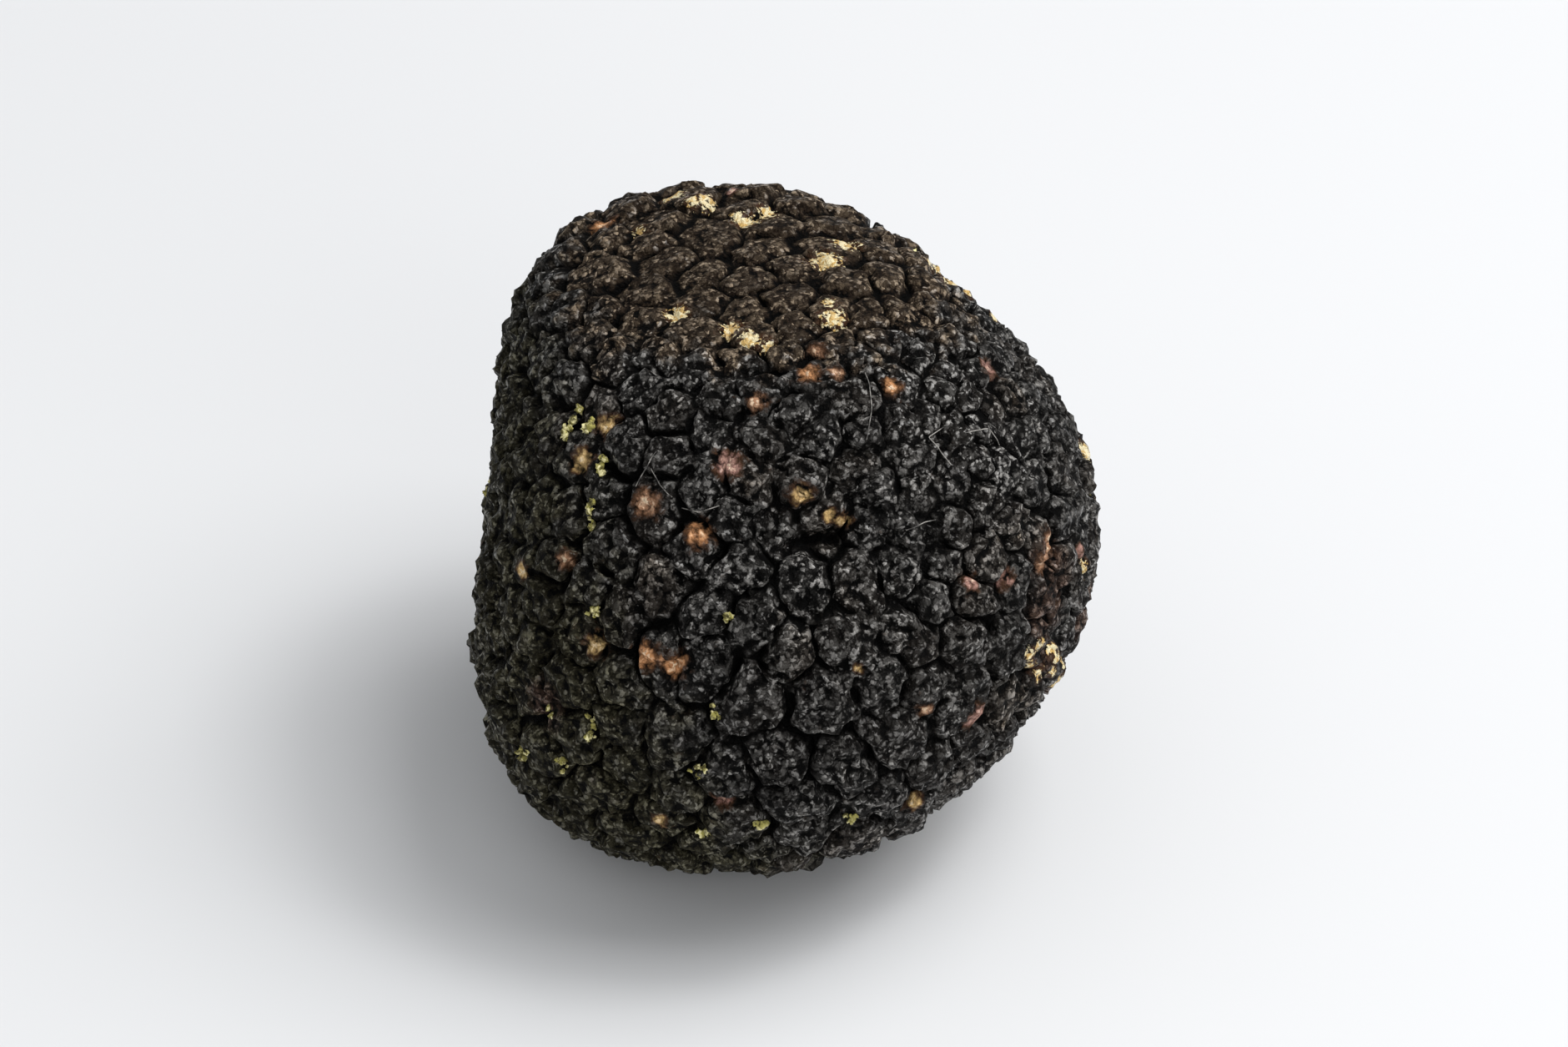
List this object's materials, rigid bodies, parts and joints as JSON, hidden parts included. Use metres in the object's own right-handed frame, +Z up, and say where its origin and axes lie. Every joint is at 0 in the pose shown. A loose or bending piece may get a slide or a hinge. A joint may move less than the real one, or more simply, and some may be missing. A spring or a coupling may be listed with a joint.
{
  "type": "black truffle",
  "caption": "Whole black truffle, a lumpy rounded tuber with a flattened top and a skin of small polygonal warts.",
  "frame": {"origin": "under the middle of the truffle's box, on the surface that it rests on", "axes": "+Z up; -Y towards the side seen first, which has the dark cleft; +Y along the longest way"},
  "size_m": [0.046, 0.0534, 0.0422],
  "materials": {
    "skin": "matte black warts with dull brown tips and darker grooves"
  },
  "bodies": {
    "root": {"truffle": "skin"}
  },
  "joints": []
}
